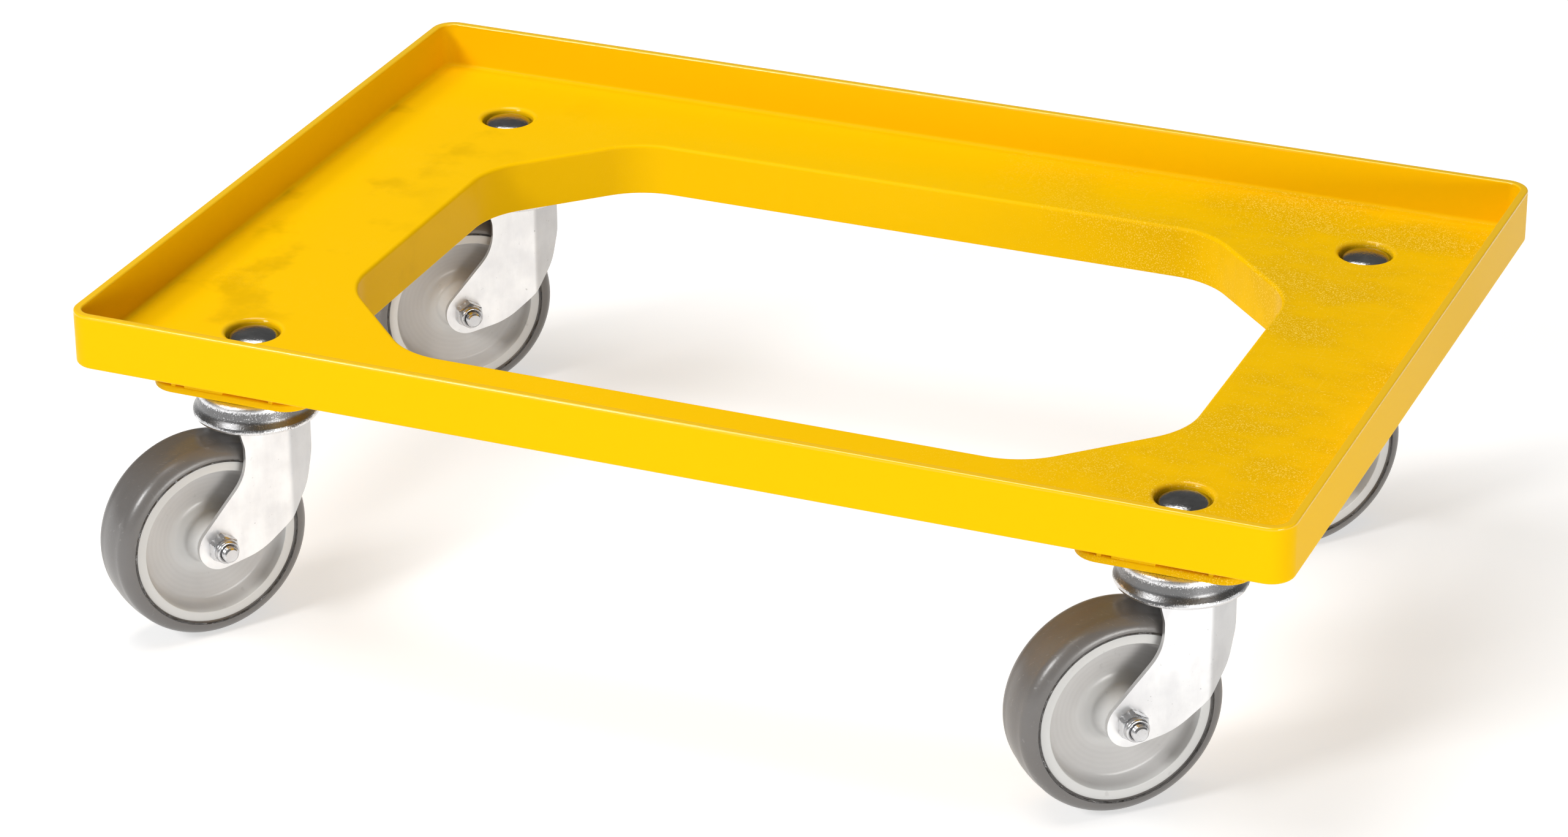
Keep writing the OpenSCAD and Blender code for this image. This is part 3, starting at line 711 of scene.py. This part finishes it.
def leg_grid(rows=72, columns=8, bend_columns=5):
    """A leg as a grid: each row crosses from the front edge to the rear edge on the sheet's outer
    face, and comes back on its inner face. Columns gather on the bend, so that it stays straight.
    """
    axle = np.array([TRAIL, AXLE_Z])
    slope = np.array([np.cos(LEG_SLOPE), np.sin(LEG_SLOPE)])
    shoulder_z = AXLE_Z + (LEG_END_R + (TRAIL - LEG_FRONT) * slope[0]) / slope[1]
    knee = axle - LEG_KNEE
    to_axle = axle - knee
    lower = (np.arctan2(to_axle[1], to_axle[0]) - np.pi / 2
             - np.arcsin(LEG_END_R / np.linalg.norm(to_axle)))
    under = np.array([np.cos(lower), np.sin(lower)])
    front = fillets([[LEG_FRONT - 4, LEG_TOP], [LEG_FRONT + 2.3, LIP_Z - 0.3],
                     [LEG_FRONT, LIP_Z - 9], [LEG_FRONT, shoulder_z], axle + LEG_END_R * slope],
                    [2.5, 12, 24], 10)
    front = np.concatenate([front, turned(axle, LEG_END_R, LEG_SLOPE, LEG_TIP)])
    edge = [[BEND_X - behind, AXLE_Z + above] for behind, above in FLANGE_EDGE]
    rear = fillets([[BEND_X - FLANGE_W, LEG_TOP], *edge, knee, axle + LEG_END_R * under],
                   [30, 24, 40, 35], 10)
    rear = np.concatenate([rear, turned(axle, LEG_END_R, lower, LEG_TIP)])
    front, rear = spread(front, rows), spread(rear, rows)
    start = BEND_X + BEND_R * FLANGE_TURN / 2
    width = np.maximum(front[:, :1] - rear[:, :1], 1e-6)
    first = np.clip((front[:, :1] - start) / width, 0, 1)
    last = np.clip((front[:, :1] - start + BEND_R * FLANGE_TURN) / width, 0, 1)
    even = np.linspace(0, 1, columns)
    share = np.concatenate([first * even, first + (last - first) * np.linspace(0, 1, bend_columns),
                            last + (1 - last) * even], 1)
    flat = front[:, None] + share[..., None] * (rear - front)[:, None]
    outer = folded(flat[..., 0], flat[..., 1], SHEET_T / 2)
    inner = folded(flat[..., 0], flat[..., 1], -SHEET_T / 2)
    return np.concatenate([outer, inner[:, ::-1]], 1)


def own_place(place):
    """The point of the caster's own frame, in metres, from the piece's attribute."""
    return place.node("Attribute", {"attribute_name": "own"}, {}, output=1)


def fork_paint(place):
    """Satin plate: pale, with soft clouds and a few dark specks. The flange is painted greyer,
    standing for the darker surroundings it reflects.
    """
    # painted reflection: the flange is greyed as if it reflected the dark surroundings behind the
    # caster
    flange = 1 - own_place(place).part(0).ramp((BEND_X - 2.5) * MM, (BEND_X + 0.5) * MM)
    cloud = place.noise(45, 4, 0.55)
    drawn = place.noise(60, 4, 0.6, (3, 3, 0.8))
    specks = place.noise(520, 3, 0.6).ramp(0.68, 0.76)
    soft = (0.7 * cloud + 0.3 * drawn).ramp(0.3, 0.7)
    tone = soft.mix(rgb(0.72, 0.72, 0.73), rgb(0.88, 0.88, 0.88))
    grey = (0.45 * flange).mix(tone, rgb(0.3, 0.3, 0.3))
    return {"Base Color": (0.5 * specks).mix(grey, rgb(0.2, 0.2, 0.2)), "Metallic": 1.0,
            "Roughness": 0.26 + 0.2 * cloud, "Normal": (cloud + drawn).bump(0.1, 0.0003)}


satin_zinc = material("satin_zinc", fork_paint)


def caster_own(corner):
    """A function that carries points of the deck's frame to a caster's own, in metres."""
    turn = caster_turn(corner)
    return lambda points: (points / MM - [*CORNERS[corner], 0]) @ turn.T * MM


crown_profile = fillets(
    [[CROWN_BORE_R, CROWN_Z], [CROWN_R - SHEET_T, CROWN_Z], [CROWN_R - SHEET_T, CROWN_Z - 3],
     [CROWN_R, CROWN_Z - 3], [CROWN_R, CROWN_TOP], [CROWN_BORE_R, CROWN_TOP],
     [CROWN_BORE_R, CROWN_Z]], [0.8, 0.4, 0.4, 1.5, 0.4])
leg = leg_grid()

for corner in CORNERS:
    there = caster_place(corner)
    legs = [there(leg), there(leg * [1, -1, 1])]
    fork = build("fork_legs_" + corner, [there(lathe(crown_profile, 64))] + legs,
                 [[grid[0]] for grid in legs], caster_own(corner))
    soften(fork, 0.4)
    settle(fork, "swivel_" + corner, "satin_zinc", satin_zinc, "fork_" + corner)

# ---- Axle bolts and nuts ----
# A hexagon bolt through both legs, with a lock nut on the outer side: a chamfered hexagon under a
# round collar, which the end of the bolt stands out of.

AXLE_R = 4
HEX_AF = 13
HEX_T = 5
NUT_T = 8
COLLAR_R = 6
BOLT_HEAD_T = 5.3
BOLT_TIP = 3.5
THREAD_PITCH = 1.25
THREAD_DEPTH = 0.3


def on_axle(points):
    """Turns a piece made upright so that it lies along the axle, its top towards the nut."""
    return points[..., [0, 2, 1]] * [1, 1, -1] + [TRAIL, 0, AXLE_Z]


def hexagon(profile, across, steps=120):
    """A profile turned about the upright axis, but cut by the six flats of a hexagon: the radius
    is the lesser of the profile's and half the width across flats over the cosine of the angle
    from the nearest flat's middle."""
    angle = np.arange(steps) * 2 * np.pi / steps
    flat = across / 2 / np.cos(np.mod(angle + np.pi / 6, np.pi / 3) - np.pi / 6)
    limit, height = np.asarray(profile, float).T
    radius = np.minimum(limit[:, None], flat)
    return np.stack([radius * np.cos(angle), radius * np.sin(angle),
                     np.broadcast_to(height[:, None], radius.shape)], -1)


def chamfer(across, low, high, steps=7):
    """The rows of a hexagon's 30 degree chamfer, from the flats' corners up to its end face."""
    height = np.linspace(low, high, steps)
    return np.stack([across * 0.485 + (high - height) * 1.73, height], 1)


def keep_edges(piece, degrees=28):
    """Keeps a piece's edges crisp where its faces meet at more than an angle."""
    piece.data.set_sharp_from_angle(angle=np.radians(degrees))


nut_rows = np.concatenate([
    [[AXLE_R + 0.1, LEG_OUT], [HEX_AF * 0.5, LEG_OUT], [HEX_AF, LEG_OUT + 0.5]],
    chamfer(HEX_AF, LEG_OUT + HEX_T - 0.9, LEG_OUT + HEX_T),
    fillets([[COLLAR_R, LEG_OUT + HEX_T], [COLLAR_R, LEG_OUT + NUT_T],
             [AXLE_R + 0.35, LEG_OUT + NUT_T], [AXLE_R + 0.35, LEG_OUT + NUT_T - 1.2],
             [AXLE_R + 0.1, LEG_OUT + NUT_T - 1.4]], [1.1, 0.4, 0]),
    [[AXLE_R + 0.1, LEG_OUT]]])
head_rows = np.concatenate([
    [[0, -LEG_OUT - BOLT_HEAD_T], [HEX_AF * 0.42, -LEG_OUT - BOLT_HEAD_T]],
    chamfer(HEX_AF, LEG_OUT + BOLT_HEAD_T - 0.9, LEG_OUT + BOLT_HEAD_T)[::-1] * [1, -1],
    [[HEX_AF, -LEG_OUT - 0.5], [HEX_AF * 0.5, -LEG_OUT - 0.3], [HEX_AF * 0.48, -LEG_OUT],
     [AXLE_R, -LEG_OUT]]])
tip_y = LEG_OUT + NUT_T + BOLT_TIP
thread_y = np.arange(LEG_OUT + NUT_T - 2, tip_y - 0.7, 0.1)
shank_rows = np.concatenate([np.stack([np.full(len(thread_y), AXLE_R), thread_y], 1),
                             [[AXLE_R - 0.1, tip_y - 0.7], [AXLE_R - 0.9, tip_y],
                              [AXLE_R - 1.3, tip_y - 0.05], [0, tip_y - 0.05]]])


def threaded(grid):
    """Sinks a helical groove into the bolt's end: the radius falls by the thread's depth times a
    triangle wave of the height over the pitch plus the share of a turn."""
    turn = np.arctan2(grid[..., 1], grid[..., 0]) / (2 * np.pi)
    wave = np.abs(np.mod(grid[..., 2] / THREAD_PITCH - turn, 1) * 2 - 1)
    outside_nut = grid[..., 2] > LEG_OUT + NUT_T - 1.9
    fade = np.clip((tip_y - 0.5 - grid[..., 2]) / 0.5, 0, 1) * outside_nut
    radius = np.maximum(np.hypot(grid[..., 0], grid[..., 1]), 1e-9)
    scale = 1 - THREAD_DEPTH * wave * fade / radius
    return grid * np.stack([scale, scale, np.ones_like(scale)], -1)


for corner in CORNERS:
    there = caster_place(corner)
    nut = build("lock_nut_" + corner, [there(on_axle(hexagon(nut_rows, HEX_AF)))])
    keep_edges(nut)
    settle(nut, "swivel_" + corner, "zinc_plate", zinc_plate, "axle_nut_" + corner)
    bolt_grid = np.concatenate([hexagon(head_rows, HEX_AF), threaded(hexagon(shank_rows, HEX_AF))])
    bolt = build("hexagon_bolt_" + corner, [there(on_axle(bolt_grid))])
    keep_edges(bolt)
    settle(bolt, "swivel_" + corner, "zinc_plate", zinc_plate, "axle_bolt_" + corner)

# ---- Wheels ----
# A moulded grey core, dished on both sides between its rim and its hub, with a dark grey
# thermoplastic tyre moulded round it. Its bushes run on the axle's sleeve.

WHEEL_R = AXLE_Z
TYRE_W = 32
TYRE_T = 8.6
SHOULDER_R = 8
CROWN_RISE = 0.6                    # the tread's middle over its shoulders
RIM_R = WHEEL_R - TYRE_T
RIM_FACE = 15
RIM_IN = RIM_R - 4.8
HUB_R = 11
HUB_Y = LEG_IN - 1
BUSH_BORE_R = 7.2
RING_WAVES = 2600                   # flow rings in the dish: radians per metre


def both_sides(half):
    """A half section from its middle plane outwards, with its mirror image in front of it."""
    half = np.asarray(half, float)
    return np.concatenate([(half * [1, -1])[::-1], half])


def axle_distance(place):
    """Distance from the axle's line, in metres."""
    own = own_place(place)
    x, z = own.part(0) - TRAIL * MM, own.part(2) - AXLE_Z * MM
    return (x * x + z * z).root()


def core_paint(place):
    """Pale grey, with painted shade in the dish's hollow between the rim face and the hub, flow
    rings about the hub and scuffs.
    """
    radius = axle_distance(place)
    cloud = place.noise(40, 4)
    rim = radius.ramp((RIM_IN - 0.9) * MM, (RIM_IN - 0.1) * MM)
    rings = (radius * RING_WAVES).sine() * 0.5 + 0.5
    # painted shade: the dish's hollow is darker, as the shade it lies in; near the hub and on the
    # rim face it keeps the pale grey
    dish = (0.6 * cloud + 0.1 * rings).mix(rgb(0.46, 0.45, 0.44), rgb(0.62, 0.61, 0.6))
    near_hub = radius.ramp((HUB_R + 2) * MM, (HUB_R + 13) * MM)
    dish = near_hub.mix(rgb(0.6, 0.6, 0.59), dish)
    scuffs = place.noise(160, 5, 0.6).ramp(0.64, 0.72)
    tone = rim.mix(dish, rgb(0.6, 0.6, 0.59))
    fine = (cloud + 0.4 * rings + place.noise(1800, 2)).bump(0.08, 0.0003)
    return {"Base Color": (0.2 * scuffs).mix(tone, rgb(0.25, 0.24, 0.23)),
            "Roughness": 0.24 + 0.12 * cloud, "Specular IOR Level": 0.5, "Normal": fine}


def tyre_paint(place):
    """Warm dark grey, with a satin skin, rubbed tread and fine lighter scratches."""
    radius = axle_distance(place)
    cloud = place.noise(35, 4)
    tread = radius.ramp((WHEEL_R - 4) * MM, (WHEEL_R - 1) * MM)
    scratches = place.noise(240, 4, 0.6, (1, 5, 1)).ramp(0.62, 0.7)
    tone = cloud.mix(rgb(0.115, 0.108, 0.103), rgb(0.15, 0.142, 0.136))
    dust = scratches * (0.25 + 0.5 * tread)
    fine = (place.noise(900, 3) + 2 * cloud).bump(0.15, 0.0003)
    return {"Base Color": (0.5 * dust).mix(tone, rgb(0.32, 0.31, 0.3)),
            "Roughness": 0.24 + 0.12 * cloud + 0.2 * dust, "Specular IOR Level": 0.6,
            "Normal": fine}


core_plastic = material("core_plastic", core_paint)
grey_rubber = material("grey_rubber", tyre_paint)

core_half = fillets([[RIM_R - 3, 0], [RIM_R, 0], [RIM_R, RIM_FACE], [RIM_IN, RIM_FACE],
                     [RIM_IN - 1.6, 7.5], [HUB_R + 8, 4.4], [HUB_R + 2.4, 7.5], [HUB_R, HUB_Y],
                     [BUSH_BORE_R, HUB_Y], [BUSH_BORE_R, 0]],
                    [0, 0.4, 0.5, 5, 7, 3, 0.5, 0.3], 6)[1:]
tyre_half = np.concatenate([
    [[RIM_R - 0.2, 0], [RIM_R - 0.2, RIM_FACE - 0.1]],
    fillets([[RIM_R, RIM_FACE + 0.1], [RIM_R + 0.9, TYRE_W / 2 - 0.1],
             [WHEEL_R - CROWN_RISE, TYRE_W / 2], [WHEEL_R - CROWN_RISE, 4]],
            [0.4, SHOULDER_R - 0.7], 14)[:-1],
    [[WHEEL_R - 0.35, 5.5], [WHEEL_R - 0.05, 3], [WHEEL_R, 0]]])

core_rows, tyre_rows = both_sides(core_half), both_sides(tyre_half)
core_rows = np.concatenate([core_rows, core_rows[:1]])
tyre_rows = np.concatenate([tyre_rows, tyre_rows[:1]])

for corner in CORNERS:
    there, own = caster_place(corner), caster_own(corner)
    core = build("core_" + corner, [there(on_axle(lathe(core_rows, 128)))], own=own)
    settle(core, "wheel_" + corner, "core_plastic", core_plastic, "wheel_core_" + corner)
    tyre = build("tread_" + corner, [there(on_axle(lathe(tyre_rows, 160)))], own=own)
    settle(tyre, "wheel_" + corner, "grey_rubber", grey_rubber, "tyre_" + corner)

# ---- Inner pieces ----
# The balls, cups, nuts, sleeves and bushes keep the shapes of the CAD part. They are turned or
# rolled steel and a brown bearing plastic.


def ball_paint(place):
    """Polished bearing steel under a film of grease."""
    film = place.noise(500, 3)
    return {"Base Color": film.mix(rgb(0.5, 0.5, 0.51), rgb(0.66, 0.66, 0.67)), "Metallic": 1.0,
            "Roughness": 0.1 + 0.2 * film}


def bush_paint(place):
    """Brown self-lubricating plastic with a fine grain."""
    grain = place.noise(900, 3)
    return {"Base Color": grain.mix(rgb(0.2, 0.15, 0.09), rgb(0.3, 0.24, 0.15)),
            "Roughness": 0.45 + 0.2 * grain}


ball_steel = material("ball_steel", ball_paint)
bush_plastic = material("bush_plastic", bush_paint)
INNER = {"lower_cup": zinc_plate, "king_nut": zinc_plate, "upper_balls": ball_steel,
         "lower_balls": ball_steel, "axle_sleeve": zinc_plate, "hub_bushes": bush_plastic}
for piece, finish in INNER.items():
    for corner in CORNERS:
        frame["nodes"][piece + "_" + corner].material_slots[0].material = finish
